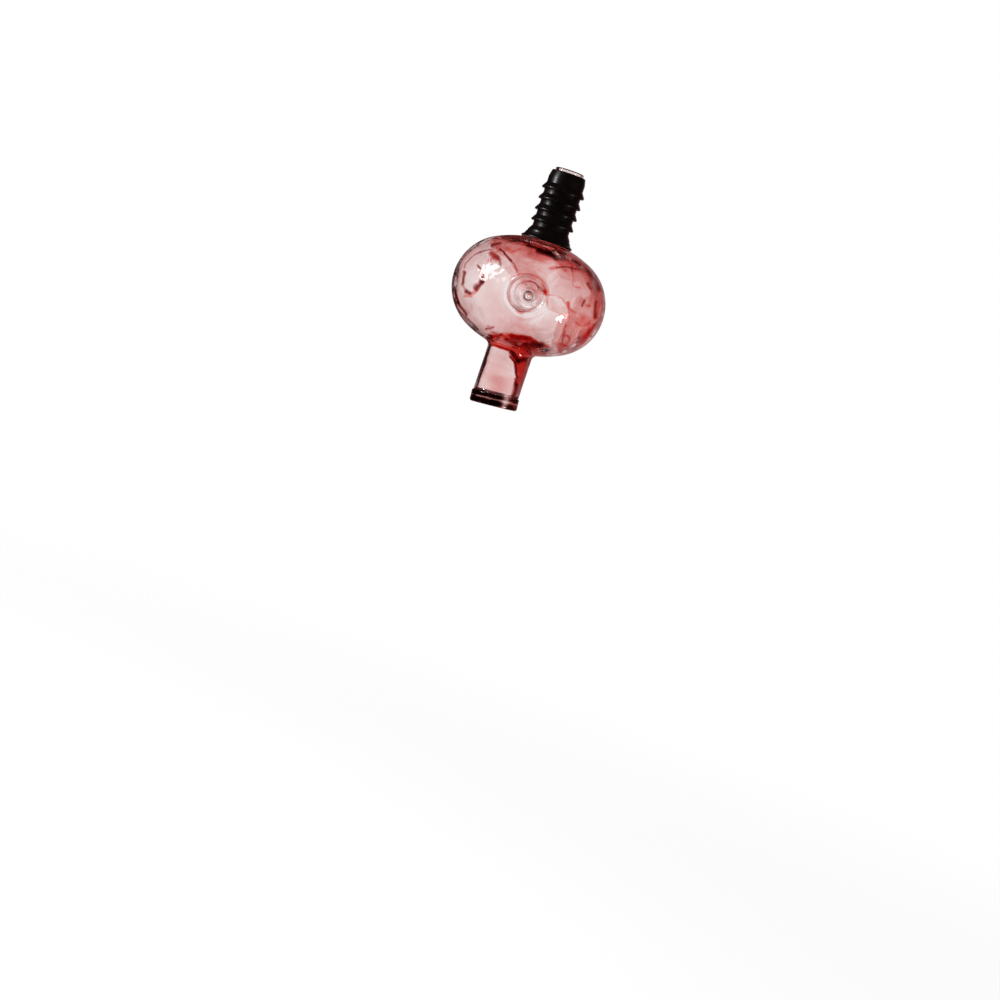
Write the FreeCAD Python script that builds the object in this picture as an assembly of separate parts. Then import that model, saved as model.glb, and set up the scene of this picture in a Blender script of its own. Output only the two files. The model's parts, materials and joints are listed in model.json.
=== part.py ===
# Wine aerator pourer: a hand-blown glass bulb, pinched at its middle, with a spout below and a stopper above.
# +Z is the axis of the bore and points up through the stopper, and the spout hangs below. The origin is on
# that axis, in the plane where the stopper seats. Millimetres.
# The glass is joined in the flame from four sections: the inlet stem, the bulb, the spout tube and the
# rolled lip. The bulb's navel is its own wall, pushed in from the front and from the back until the two
# tips meet and fuse. A finned rubber stopper grips the stem, and the glass pulls down out of it.
import FreeCAD, Part

import math
import os

from FreeCAD import Vector

# Bulb: an oval of revolution, with a wide cap arc above and below that runs into a tighter side arc
BULB_RADIUS = 35.0
BULB_HALF_HEIGHT = 25.7
BULB_CAP_RADIUS = 51.6
BULB_WALL = 1.7
BULB_BELOW_RIM = 1.9

# Navel: a round-tipped cone pushed in from each side, along Y
DIMPLE_MOUTH_RADIUS = 7.6
DIMPLE_TIP_RADIUS = 2.9
DIMPLE_MOUTH_ROUND = 3.6
NAVEL_WALL = 1.5
NAVEL_WEB = 2.0
NAVEL_WAIST_FILLET = 3.0

# Inlet stem, which the stopper grips
STEM_RADIUS = 6.5
STEM_WALL = 1.5
STEM_ROOT_FILLET = 1.2
STEM_ABOVE_STOPPER = 1.5
STEM_END_ROUND = 0.6

# Spout tube
SPOUT_RADIUS = 10.25
SPOUT_WALL = 1.5
SPOUT_ROOT_FILLET = 2.5
SPOUT_LENGTH = 25.6

# Rolled lip, whose plane is a little out of square, lower on the -X side
LIP_HEIGHT = 5.4
LIP_PROUD = 0.55
LIP_OUTER_ROUND = 1.0
LIP_INNER_ROUND = 0.6
LIP_SLANT_DEG = 4.5

# Length of straight neck on the bulb, past each root fillet, up to the flame joint
NECK_LENGTH = 1.0

# Stopper: flared skirt on the bulb's shoulder, a land where it seats, swept fins and a tapered nose
PLUG_LENGTH = 29.0
PLUG_ROOT_RADIUS = 8.3
PLUG_NOSE_RADIUS = 7.6
PLUG_NOSE_TAPER = 3.0
FIN_RADIUS = 9.7
FIN_PITCH = 5.0
FIN_LAND = 0.8
FIN_SWEEP = 0.5
FIN_RAMP = 2.2
SKIRT_TOP_RADIUS = 10.1
SKIRT_RADIUS = 11.7
SKIRT_EDGE = 0.8
SKIRT_SAG = 0.35

# Fits and clearances
STEM_FIT = 0.05
SEAT_GAP = 0.3
CUT_MARGIN = 1.0

UP = Vector(0, 0, 1)
ALONG_Y = Vector(0, 1, 0)
BULB_CENTRE = -(BULB_BELOW_RIM + BULB_HALF_HEIGHT)
STEM_BORE = STEM_RADIUS - STEM_WALL
STEM_END = PLUG_LENGTH + STEM_ABOVE_STOPPER
SPOUT_BORE = SPOUT_RADIUS - SPOUT_WALL
SPOUT_END = BULB_CENTRE - BULB_HALF_HEIGHT - SPOUT_LENGTH
LIP_TOP = SPOUT_END + LIP_HEIGHT


def point(r, z):
    """A point of a half outline: r from the axis, at height z."""
    return Vector(r, 0, z)


def line(start, end):
    return Part.LineSegment(start, end).toShape()


def arc_about(centre, start, end):
    """The short arc from start to end about centre."""
    middle = (start - centre) + (end - centre)
    middle.normalize()
    return Part.Arc(start, centre + middle * (start - centre).Length, end).toShape()


def bowed(start, end, sag):
    """The arc from start to end whose middle stands off its chord by sag, to the right of the way along."""
    chord = end - start
    side = Vector(chord.z, 0, -chord.x)
    side.normalize()
    return Part.Arc(start, (start + end) * 0.5 + side * sag, end).toShape()


def polyline(points):
    return [line(start, end) for start, end in zip(points, points[1:])]


def turned(edges, base=Vector(0, 0, 0), axis=UP):
    """The solid that a closed outline sweeps in a full turn."""
    return Part.Face(Part.Wire(edges)).revolve(base, axis, 360)


def root_fillet(neck, fillet, cap_radius, cap_centre, side):
    """Centre, neck end and cap end of the arc where a neck leaves the bulb's cap; side is 1 above, -1 below."""
    rise = math.sqrt((cap_radius + fillet) ** 2 - (neck + fillet) ** 2)
    centre = point(neck + fillet, cap_centre + side * rise)
    apex = point(0, cap_centre)
    return centre, point(neck, centre.z), apex + (centre - apex) * (cap_radius / (cap_radius + fillet))


def vessel(grow, top, bottom):
    """The oval, grown on all sides, with a neck above and below, each given as radius, root fillet and end."""
    radius = BULB_RADIUS + grow
    half = BULB_HALF_HEIGHT + grow
    cap = BULB_CAP_RADIUS + grow
    shoulder = (2 * cap * half - radius**2 - half**2) / (2 * (cap - radius))
    upper = point(0, BULB_CENTRE + half - cap)
    lower = point(0, BULB_CENTRE - half + cap)
    ring = point(radius - shoulder, BULB_CENTRE)
    upper_join = upper + (ring - upper) * (cap / (ring - upper).Length)
    lower_join = lower + (ring - lower) * (cap / (ring - lower).Length)
    top_radius, top_fillet, top_end = top
    low_radius, low_fillet, low_end = bottom
    top_centre, top_neck, top_cap = root_fillet(top_radius, top_fillet, cap, upper.z, 1)
    low_centre, low_neck, low_cap = root_fillet(low_radius, low_fillet, cap, lower.z, -1)
    edges = [
        line(point(0, top_end), point(top_radius, top_end)),
        line(point(top_radius, top_end), top_neck),
        arc_about(top_centre, top_neck, top_cap),
        arc_about(upper, top_cap, upper_join),
        arc_about(ring, upper_join, lower_join),
        arc_about(lower, lower_join, low_cap),
        arc_about(low_centre, low_cap, low_neck),
        line(low_neck, point(low_radius, low_end)),
        line(point(low_radius, low_end), point(0, low_end)),
        line(point(0, low_end), point(0, top_end)),
    ]
    return turned(edges)


UPPER_CAP_CENTRE = BULB_CENTRE + BULB_HALF_HEIGHT - BULB_CAP_RADIUS
LOWER_CAP_CENTRE = BULB_CENTRE - BULB_HALF_HEIGHT + BULB_CAP_RADIUS
STEM_ROOT = root_fillet(STEM_RADIUS, STEM_ROOT_FILLET, BULB_CAP_RADIUS, UPPER_CAP_CENTRE, 1)[1].z
SPOUT_ROOT = root_fillet(SPOUT_RADIUS, SPOUT_ROOT_FILLET, BULB_CAP_RADIUS, LOWER_CAP_CENTRE, -1)[1].z
STEM_JOINT = STEM_ROOT + NECK_LENGTH
SPOUT_JOINT = SPOUT_ROOT - NECK_LENGTH


def cone(radius, side):
    """Tip centre, end of the round tip and far end of a dimple's cone; side is -1 in front, 1 behind.

    The cone is tangent to the round tip, and the dimple's own surface has the mouth's radius where it
    reaches the bulb's side. A larger tip radius gives the parallel cone of the glass round it.
    """
    tip = NAVEL_WEB / 2 + DIMPLE_TIP_RADIUS
    reach = BULB_RADIUS - tip
    lean = math.atan2(DIMPLE_MOUTH_RADIUS, reach)
    lean -= math.asin(DIMPLE_TIP_RADIUS / math.hypot(DIMPLE_MOUTH_RADIUS, reach))
    centre = Vector(0, side * tip, BULB_CENTRE)
    end_of_tip = centre + Vector(math.cos(lean), -side * math.sin(lean), 0) * radius
    run = (BULB_RADIUS + DIMPLE_MOUTH_ROUND - abs(end_of_tip.y)) / math.cos(lean)
    return centre, end_of_tip, end_of_tip + Vector(math.sin(lean), side * math.cos(lean), 0) * run


def on_navel_axis(y):
    return Vector(0, y, BULB_CENTRE)


def dimple(side):
    """The air of one dimple, out past the bulb."""
    centre, end_of_tip, rim = cone(DIMPLE_TIP_RADIUS, side)
    nose = on_navel_axis(side * NAVEL_WEB / 2)
    edges = [arc_about(centre, nose, end_of_tip)]
    edges += polyline([end_of_tip, rim, on_navel_axis(rim.y), nose])
    return turned(edges, on_navel_axis(0), ALONG_Y)


def pillar():
    """Both dimples with the glass round them: a spool through the bulb, with a waist at the fused web."""
    radius = DIMPLE_TIP_RADIUS + NAVEL_WALL
    front_centre, front_side, front_rim = cone(radius, -1)
    back_centre, back_side, back_rim = cone(radius, 1)
    waist = math.sqrt((radius + NAVEL_WAIST_FILLET) ** 2 - back_centre.y**2)
    groove = Vector(waist, 0, BULB_CENTRE)
    share = radius / (radius + NAVEL_WAIST_FILLET)
    front_waist = front_centre + (groove - front_centre) * share
    back_waist = back_centre + (groove - back_centre) * share
    edges = polyline([on_navel_axis(back_rim.y), on_navel_axis(front_rim.y), front_rim, front_side])
    edges.append(arc_about(front_centre, front_side, front_waist))
    edges.append(arc_about(groove, front_waist, back_waist))
    edges.append(arc_about(back_centre, back_waist, back_side))
    edges += polyline([back_side, back_rim, on_navel_axis(back_rim.y)])
    return turned(edges, on_navel_axis(0), ALONG_Y)


def mouth_edges(solid):
    """The two edges where the navel runs out through the bulb's side, front and back."""
    found = []
    for edge in solid.Edges:
        box = edge.BoundBox
        if min(abs(box.YMin), abs(box.YMax)) > BULB_RADIUS / 2 and box.XLength > DIMPLE_MOUTH_RADIUS:
            found.append(edge)
    return found


def chamber_bulb():
    """The blown bulb with its navel and two short necks."""
    outside = vessel(
        0,
        (STEM_RADIUS, STEM_ROOT_FILLET, STEM_JOINT),
        (SPOUT_RADIUS, SPOUT_ROOT_FILLET, SPOUT_JOINT),
    )
    outside = outside.cut(dimple(-1)).cut(dimple(1))
    outside = outside.makeFillet(DIMPLE_MOUTH_ROUND, mouth_edges(outside))
    hollow = vessel(
        -BULB_WALL,
        (STEM_BORE, STEM_ROOT_FILLET + BULB_WALL, STEM_JOINT + CUT_MARGIN),
        (SPOUT_BORE, SPOUT_ROOT_FILLET + BULB_WALL, SPOUT_JOINT - CUT_MARGIN),
    )
    hollow = hollow.cut(pillar())
    hollow = hollow.makeFillet(DIMPLE_MOUTH_ROUND - NAVEL_WALL, mouth_edges(hollow))
    return outside.cut(hollow)


def inlet_stem():
    """The tube from the bulb's upper neck up through the stopper, with a fire-polished end."""
    outer_end = point(STEM_RADIUS, STEM_END - STEM_END_ROUND)
    inner_end = point(STEM_BORE, STEM_END - STEM_END_ROUND)
    outer_top = point(STEM_RADIUS - STEM_END_ROUND, STEM_END)
    inner_top = point(STEM_BORE + STEM_END_ROUND, STEM_END)
    edges = polyline([inner_end, point(STEM_BORE, STEM_JOINT), point(STEM_RADIUS, STEM_JOINT), outer_end])
    edges.append(arc_about(point(outer_top.x, outer_end.z), outer_end, outer_top))
    edges.append(line(outer_top, inner_top))
    edges.append(arc_about(point(inner_top.x, inner_end.z), inner_top, inner_end))
    return turned(edges)


def slanted(shape):
    """Tips a shape at the spout's end, about the middle of the lip's joint, into the lip's plane."""
    return shape.rotate(point(0, LIP_TOP), ALONG_Y, -LIP_SLANT_DEG)


def spout_tube():
    """The straight tube from the bulb's lower neck down to the lip's slanted plane."""
    height = SPOUT_JOINT - SPOUT_END
    tube = Part.makeCylinder(SPOUT_RADIUS, height, point(0, SPOUT_END))
    bore = Part.makeCylinder(SPOUT_BORE, height, point(0, SPOUT_END))
    below = 2 * SPOUT_RADIUS
    side = 4 * SPOUT_RADIUS
    corner = Vector(-side / 2, -side / 2, SPOUT_END - below)
    lip_space = slanted(Part.makeBox(side, side, below + LIP_HEIGHT, corner))
    return tube.cut(bore).cut(lip_space)


def spout_lip():
    """The thick rolled bead that ends the spout, with a flat ring between its two rounds."""
    lip_radius = SPOUT_RADIUS + LIP_PROUD
    shoulder = point(lip_radius, LIP_TOP - LIP_PROUD)
    outer_side = point(lip_radius, SPOUT_END + LIP_OUTER_ROUND)
    outer_foot = point(lip_radius - LIP_OUTER_ROUND, SPOUT_END)
    inner_foot = point(SPOUT_BORE + LIP_INNER_ROUND, SPOUT_END)
    inner_side = point(SPOUT_BORE, SPOUT_END + LIP_INNER_ROUND)
    edges = [
        line(point(SPOUT_BORE, LIP_TOP), point(SPOUT_RADIUS, LIP_TOP)),
        arc_about(point(SPOUT_RADIUS, shoulder.z), point(SPOUT_RADIUS, LIP_TOP), shoulder),
        line(shoulder, outer_side),
        arc_about(point(outer_foot.x, outer_side.z), outer_side, outer_foot),
        line(outer_foot, inner_foot),
        arc_about(point(inner_foot.x, inner_side.z), inner_foot, inner_side),
        line(inner_side, point(SPOUT_BORE, LIP_TOP)),
    ]
    return slanted(turned(edges))


def fin_points(z):
    """One fin, from its root above, out down the ramp to the crest and back under it."""
    return [
        point(PLUG_ROOT_RADIUS, z + FIN_LAND + FIN_RAMP),
        point(FIN_RADIUS, z + FIN_LAND),
        point(FIN_RADIUS, z),
        point(PLUG_ROOT_RADIUS, z + FIN_SWEEP),
    ]


def stopper():
    """The rubber plug with its skirt, bored for the stem and seated a small gap off the bulb's shoulder."""
    taper_start = PLUG_LENGTH - PLUG_NOSE_TAPER
    outline = [point(0, PLUG_LENGTH), point(PLUG_NOSE_RADIUS, PLUG_LENGTH), point(PLUG_ROOT_RADIUS, taper_start)]
    fins = int((taper_start - FIN_LAND - FIN_RAMP) / FIN_PITCH)
    for k in range(fins, 0, -1):
        outline += fin_points(k * FIN_PITCH)
    outline += fin_points(0)[:3]
    outline.append(point(SKIRT_TOP_RADIUS, 0))
    skirt_foot = UPPER_CAP_CENTRE + math.sqrt((BULB_CAP_RADIUS + SEAT_GAP) ** 2 - SKIRT_RADIUS**2)
    skirt_edge = point(SKIRT_RADIUS, skirt_foot + SKIRT_EDGE)
    edges = polyline(outline)
    edges.append(bowed(outline[-1], skirt_edge, SKIRT_SAG))
    inside_bulb = skirt_foot - CUT_MARGIN
    edges += polyline([skirt_edge, point(SKIRT_RADIUS, inside_bulb), point(0, inside_bulb), outline[0]])
    bulb_and_stem = vessel(
        SEAT_GAP,
        (STEM_RADIUS + STEM_FIT, STEM_ROOT_FILLET, PLUG_LENGTH + CUT_MARGIN),
        (SPOUT_RADIUS, SPOUT_ROOT_FILLET, SPOUT_JOINT),
    )
    return turned(edges).cut(bulb_and_stem)


def write(name, shape):
    """Writes the one solid of a sub-part to its own file."""
    solid = shape.Solids[0]
    solid.exportStep(f"parts/{name}.step")
    box = solid.BoundBox
    size = f"{box.XLength:.1f} x {box.YLength:.1f} x {box.ZLength:.1f}"
    print(name, len(shape.Solids), solid.isValid(), f"{solid.Volume:.0f} mm3", size, f"z {box.ZMin:.2f} {box.ZMax:.2f}")


def main():
    os.makedirs("parts", exist_ok=True)
    write("chamber_bulb", chamber_bulb())
    write("inlet_stem", inlet_stem())
    write("spout_tube", spout_tube())
    write("spout_lip", spout_lip())
    write("stopper", stopper())


main()
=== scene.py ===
import json
import math

import bmesh
import bpy
import numpy as np
from mathutils import Matrix, Vector


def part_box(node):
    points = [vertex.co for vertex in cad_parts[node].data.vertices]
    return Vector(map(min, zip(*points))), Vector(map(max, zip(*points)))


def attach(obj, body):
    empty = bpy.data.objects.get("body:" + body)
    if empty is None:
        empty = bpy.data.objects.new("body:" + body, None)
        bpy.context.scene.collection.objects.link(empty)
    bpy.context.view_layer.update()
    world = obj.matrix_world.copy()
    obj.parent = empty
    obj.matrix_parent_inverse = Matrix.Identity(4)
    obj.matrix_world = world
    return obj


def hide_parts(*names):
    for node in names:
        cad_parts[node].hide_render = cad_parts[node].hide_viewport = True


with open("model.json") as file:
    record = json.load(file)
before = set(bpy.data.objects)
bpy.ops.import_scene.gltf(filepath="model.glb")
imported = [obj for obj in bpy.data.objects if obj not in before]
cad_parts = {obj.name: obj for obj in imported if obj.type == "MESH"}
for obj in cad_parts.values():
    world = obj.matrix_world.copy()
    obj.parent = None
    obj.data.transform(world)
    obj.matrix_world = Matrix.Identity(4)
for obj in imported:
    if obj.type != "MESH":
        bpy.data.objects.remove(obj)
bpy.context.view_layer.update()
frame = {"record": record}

MM = 0.001

# Sizes that the solids give
BULB_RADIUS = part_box("chamber_bulb")[1].x
STEM_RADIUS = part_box("inlet_stem")[1].x
STEM_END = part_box("inlet_stem")[1].z
SPOUT_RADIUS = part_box("spout_tube")[1].x
SKIRT_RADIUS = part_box("stopper")[1].x
PLUG_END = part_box("stopper")[1].z
MOUNT = frame["record"]["mounts"][0]
FIN_RADIUS = MOUNT["dims"]["r_mm"] * MM

# Glass: what the boxes don't tell
BULB_HALF_HEIGHT = 25.7 * MM
BULB_CENTRE = -27.6 * MM
BULB_CAP_RADIUS = 51.6 * MM
BULB_WALL = 1.7 * MM
GLASS_IOR = 1.47
STEM_WALL = 1.5 * MM
STEM_FILLET = 1.2 * MM
STEM_END_ROUND = 0.6 * MM
SPOUT_WALL = 1.5 * MM
SPOUT_FILLET = 2.5 * MM
LIP_TOP = -73.5 * MM
LIP_HEIGHT = 5.4 * MM
LIP_PROUD = 0.55 * MM
LIP_OUTER_ROUND = 1.0 * MM
LIP_INNER_ROUND = 0.6 * MM
LIP_SLANT = math.radians(4.5)
DIMPLE_MOUTH_RADIUS = 7.6 * MM
DIMPLE_TIP_RADIUS = 2.9 * MM
DIMPLE_MOUTH_ROUND = 3.6 * MM
NAVEL_WALL = 1.5 * MM
NAVEL_WEB = 2.0 * MM
NAVEL_WAIST_FILLET = 3.0 * MM

# Rubber stopper
PLUG_ROOT_RADIUS = 8.3 * MM
PLUG_NOSE_RADIUS = 7.6 * MM
PLUG_NOSE_TAPER = 3.0 * MM
FIN_PITCH = 5.0 * MM
FIN_LAND = 0.8 * MM
FIN_SWEEP = 0.5 * MM
FIN_RAMP = 2.2 * MM
SKIRT_TOP_RADIUS = 10.1 * MM
SKIRT_EDGE = 0.8 * MM
SKIRT_SAG = 0.35 * MM
SKIRT_SAG_WAY = (0.6, 0.8)
SEAT_GAP = 0.3 * MM
STEM_FIT = 0.05 * MM
MOULD_ROUND = 0.25 * MM
SHARP_CORNER = math.radians(10)
CORNER_SHARE = 0.45
PARTING_PROUD = 0.07 * MM
PARTING_WIDTH = 0.16 * MM
PARTING_CROWD = 0.35

# Colours that one depth of the flash lets through: rose where it is even, ruby and soot-dark where it gathered.
# The soot-dark one also paints shade along the bulb's left outline, and the last, grey one paints the
# grey-brown spots and the shade of the lip's rings and of the bulb's bottom edge
ROSE = "E6AAA7"
RUBY = "EB7670"
SOOTY_AND_EDGE_SHADE_TINT = "9C5C5C"
SMOKE_AND_SHADE_TINT = "AD908E"

# The glass under the flash, whose colour is what it lets through, and the rubber
BODY_TINT = "C88989"
BODY_DENSITY = 3
RUBBER_BLACK = "040404"
RUBBER_IOR = 1.52

# Where the glass shows what, read off the photograph in its own pixels. First the edges of the deeper flash, as
# pixels run through: it lies above and to the right of the bulb's, and to the right of the spout's
BULB_EDGE_PX = [
    (497, 239), (500, 249.5), (511, 260), (517, 269.5), (518.5, 275), (522, 278), (532, 280.5), (546, 294.5),
    (556, 294), (563, 297), (566, 303), (570, 309), (571, 320), (566, 329), (562, 341), (561, 346),
]
SPOUT_EDGE_PX = [
    (507.5, 349), (509, 351.5), (509.5, 357), (514, 363), (516.5, 372), (518, 379), (515.5, 382), (516.5, 392),
    (511, 398), (510, 410.5),
]
EDGE_DRIFT = 1.8 * MM

# Clouds in the flash, and grey-brown spots in it that are partly painted shade, most along the bulb's bottom
# edge: pixel, radius (mm) and the depth added
CLOUDS = [
    ((548, 259), 8, -0.5),
    ((572, 260), 6, 0.05),
    ((551.5, 282), 6, -0.1),
    ((597.5, 298.5), 6, 0.3),
    ((589.5, 330), 7, -0.35),
    ((554, 302.5), 6, -0.4),
    ((571, 340.5), 7, -0.1),
    ((518, 326.5), 9, 1.2),
    ((473, 281.5), 4.5, -0.6),
    ((492, 250.5), 7, -0.2),
    ((496, 363.5), 6, 0.6),
    ((495, 385), 6, 1.6),
]
SMOKE_AND_SHADE_SPOTS = [
    # Painted shade along the bulb's bottom edge, right of the spout
    ((547, 353), 8, 0.5),
    ((463.5, 317), 5, 0.4),
    ((526.5, 238.5), 8, 0.3),
    ((486, 250), 6, 0.3),
    ((572, 285), 6, 0.2),
    ((512, 346), 7, 0.35),
    ((532, 349), 5, 0.3),
]

# Corners of a pane of thinner flash beside the navel, and of the upper side of the gathering in the throat
PANE_PX = [
    (549, 275), (546, 284.5), (549, 294), (555, 294), (565, 301), (572, 310), (581, 299), (593, 294),
    (589, 285), (584, 272.5), (558, 269.5), (549, 275),
]
THROAT_EDGE_PX = [
    (540, 346), (537, 340), (530, 336), (520, 335), (510, 334.5), (500, 335), (491, 334), (487.5, 338),
]

# Folds that the blowing drew out in front; some soot-dark runs follow the outline and are partly painted shade:
# from one pixel to another, half width (mm) and depth
SOOTY_FOLDS_AND_EDGE_SHADE = [
    # These three follow the bulb's lower left outline: partly painted shade, the dark that the glass's edge
    # refracts
    ((451, 278), (454, 292), 1, 3.5),
    ((454, 292), (457.5, 302), 1.3, 4),
    ((457.5, 302), (466, 314.5), 1.1, 2.6),
    ((540, 345), (548, 348), 1.2, 0.7),
    ((492, 245.5), (499, 243.5), 1.2, 2.2),
    ((500, 249.5), (511, 260), 0.7, 3),
    ((511, 260), (517, 269), 0.6, 1),
    ((520, 240), (529, 242), 0.9, 2.7),
    ((529, 245), (539, 249), 1.3, 3.2),
    ((538, 251), (548, 252.5), 1.6, 4.3),
    ((548, 253), (556, 257), 1.3, 4.1),
    ((541, 243.5), (557, 251), 0.9, 2.2),
    ((561, 254), (569, 257.5), 1.6, 4.1),
    ((557, 267.3), (563, 266.8), 0.6, 1.8),
    ((563, 266.8), (580, 269.3), 0.6, 1.8),
    ((574, 261.5), (588, 271), 1.3, 2.2),
    ((588, 271), (599, 288), 1.6, 2.2),
    ((587.5, 282.5), (591.5, 289), 0.8, 1.6),
    ((585, 300.5), (582, 306), 0.7, 1.6),
    ((596.5, 302), (595, 317), 0.8, 2.2),
    ((598.5, 323), (588, 332), 0.9, 1.2),
    ((578.5, 341), (575.5, 345), 0.8, 1.4),
    ((565, 331), (562.5, 342), 0.6, 1.1),
    ((533.5, 344.5), (541, 345.5), 2.1, 3),
    ((463.5, 272), (462.5, 283.5), 1.2, 2.6),
    ((478.5, 265.5), (480.5, 268), 0.8, 2),
    ((482.5, 276), (482.5, 281), 1.2, 2),
    ((482.5, 281), (476, 287), 1.5, 2.6),
    ((462.5, 286), (466.5, 291), 0.7, 0.7),
    ((466.5, 291), (470, 293), 1.2, 2.6),
    ((497, 256), (501, 264.5), 0.9, 1.2),
    ((491, 254), (497, 258), 1.8, 1.1),
    ((486, 328.5), (494, 327), 0.6, 1),
    ((511, 341), (524, 340), 0.8, 0.8),
    ((527.5, 345), (529.5, 353), 1.3, 2.4),
    ((512, 353), (518, 361), 1.7, 3.5),
    ((518, 361), (530, 358.5), 1.6, 3.5),
    ((509.5, 357), (514, 363), 0.6, 3),
    ((514, 363), (517.5, 377), 0.9, 3.5),
    ((515.8, 379), (516.8, 386), 1.1, 2.4),
    ((516.5, 385), (514.8, 396), 1.6, 3.2),
    ((491.5, 341), (501, 337.5), 0.6, 1.8),
    ((506, 342), (526, 347), 0.8, 1.2),
    ((511, 336.5), (530, 338.5), 0.7, 0.8),
    # These three follow the upper left outline: partly painted shade, the dark that the glass's edge refracts
    ((464, 268), (470, 258), 0.5, 1.2),
    ((470, 258), (480, 252.5), 0.5, 1.2),
    ((480, 252.5), (490, 250), 0.5, 1.2),
    ((526.5, 243), (545.5, 251), 1.4, 1.3),
    ((545, 252.5), (557.5, 257), 1.7, 2.2),
    ((557, 256), (571, 259), 1.8, 2.5),
    ((590, 274), (599, 289), 1, 1.2),
    ((515, 346), (530, 349), 1.4, 0.8),
]
RUBY_FOLDS = [
    ((539, 345.5), (549, 349.5), 1.8, 1.3),
    ((491.5, 341), (501, 337.5), 0.9, 3.2),
    ((501, 337.5), (508, 341), 0.7, 3.2),
    ((511, 336.5), (530, 338.5), 1.5, 5),
    ((506, 342), (526, 347), 1.6, 5.5),
    ((493, 345), (508, 350), 1, 3.2),
    ((530.5, 279), (545.5, 293.5), 1.1, 2.2),
    ((545, 292), (545.5, 293.5), 1.6, 1.5),
    ((517, 311.5), (522.5, 313), 1.5, 0.7),
    ((567.5, 303), (568.5, 307), 0.9, 2),
    ((569, 309), (575, 312), 0.9, 1),
    ((576, 322.5), (581, 326), 0.6, 1),
    ((588, 332), (580, 338), 0.9, 1.5),
    ((560.5, 343.5), (566, 346), 0.9, 2),
    ((492, 254), (497, 259), 2.1, 1.3),
    ((495, 255), (489, 261), 1.1, 1),
    ((477, 288.5), (471.5, 294), 1.2, 1.1),
    ((465, 295), (472, 296.5), 1, 0.9),
    ((587, 305.5), (589, 306), 0.9, 1.2),
    ((551, 268), (556, 267), 1, 1.2),
    ((507, 250), (513, 252), 1.7, 0.9),
    ((486, 328.5), (489, 326.5), 0.6, 0.9),
    ((490, 329), (494, 327), 0.6, 0.9),
    ((579, 265), (590, 274), 1.8, 3),
    ((590, 274), (599, 289), 2.2, 3),
    ((596.5, 302), (595, 317), 1.6, 2),
    ((593, 326), (585, 337), 1.3, 2.5),
    ((584, 338), (576, 344.5), 1.5, 2.5),
    ((531, 338.5), (536, 341), 1.1, 2),
    ((584, 322), (588, 333), 5, 1.3),
]

# Where the front wall is dented: pixel, radius (mm) and share of the ripple
DENTS = [((490, 270), 6, 1)]

# Mesh fineness: columns round the axis, and the window of columns and rows that the navel takes
COLUMNS = 192
SIDE_ROWS = 48
WINDOW_COLUMNS = 15
WINDOW_ROWS = 16
SPOUT_ROWS = 16
WELD = 1e-7

# Camera, from the photograph's frame of 1000 pixels: its focal length, and where the bulb's middle stands in it
FRAME_PX = 1000
FOCAL_PX = 2351
BULB_PX = (528.5, 296.0)
EYE_DEPTH = 1.0449
EYE_AZIMUTH = math.radians(2.8)
EYE_ELEVATION = math.radians(-1.5)
EYE_ROLL = math.radians(18.5)
SENSOR_MM = 36
NEAR = 0.01
SIGHT_STEPS = 80

# Studio
FLOOR_HEIGHT = -0.33
FLOOR_RADIUS = 1.2
FLOOR_COLUMNS = 96
FLOOR_RINGS = 9
FLOOR_PALE = "E8E8E8"
FLOOR_GLOW = 0.42
FLOOR_FADES = (0.35 * FLOOR_RADIUS, 0.98 * FLOOR_RADIUS)
LAMP_DISTANCE = 0.9
# Lamps: name, azimuth and elevation in degrees, width and height in metres, and watts
LAMPS = [("left_softbox", -71, 17, 0.15, 0.24, 3.5), ("right_softbox", 62.5, -23, 0.14, 0.17, 2.2)]
LIGHT_BOUNCES = 128

# Strength of the white behind the object and in front of it, of the light on what isn't glass, and of what the
# glass mirrors, turns back and shows of the cards beside it
BACK_LIGHT = 0.95
FRONT_LIGHT = 0.92
PLAIN_LIGHT = 0.6
MIRRORED = 0.08
TURNED_BACK = 0.2
CARD_TONE = "BC454A"
WHITE = "FFFFFF"
CARD_LEFT = 0.06
CARD_RIGHT = 0.5
# Where that changes, by the ray's own direction: X runs to the right and Y to the back, each from -1 to 1
BACK_BEGINS = (-0.5, 0.1)
CARDS_MEET = (-0.16, 0.02)
CARDS_BEGIN = (0.2, 0.4)
CARDS_MIRRORED = (0.75, 0.95)
CARDS_OPEN = (0.97, 0.99)
# A ray sees the white, and the floor, once it has crossed more of the glass's surfaces than this
WALLS_TO_WHITE = 2.5
WALLS_TO_FLOOR = 3.5

# Unevenness of the blown walls: how far they swell, from crest to crest, the sines it is made of, and the
# heights over which it dies out
OUTER_SWELL = 0.2 * MM
OUTER_WAVE = 22 * MM
INNER_SWELL = 0.22 * MM
INNER_WAVE = 13 * MM
OUTER_SEED = 3
INNER_SEED = 8
SINES = 7
SINE_SHARES = (0.7, 1.6)
SINE_GAIN = 1.8
SWELL_ENDS = (0.8 * BULB_HALF_HEIGHT, 0.98 * BULB_HALF_HEIGHT)
# The fine ripple that only bends the light, and how far it sways the folds
RIPPLE = 0.3 * MM
FOLD_SWAY = 2.2 * MM

# Where the flash changes, from the start of each change to its end. These are heights from the bulb's middle,
# but for the distance from the throat's gathering that counts below it
SPOUT_BEGINS = (-20 * MM, -25 * MM)
SPOUT_DEEPENS = (-41 * MM, -36 * MM)
SPOUT_LINE_TOP = -25.4 * MM
THROAT_LINE_END = -26 * MM
BELOW_THROAT = -9 * MM
THROAT_GRAZED = (-17 * MM, -19.5 * MM)
BULB_BEGINS = (-26 * MM, -24 * MM)
BULB_ENDS = (25 * MM, 23.5 * MM)
CROWN_DEEPENS = (17 * MM, 22 * MM)
STEM_BEGINS = (26.5 * MM, 25.3 * MM)
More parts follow.
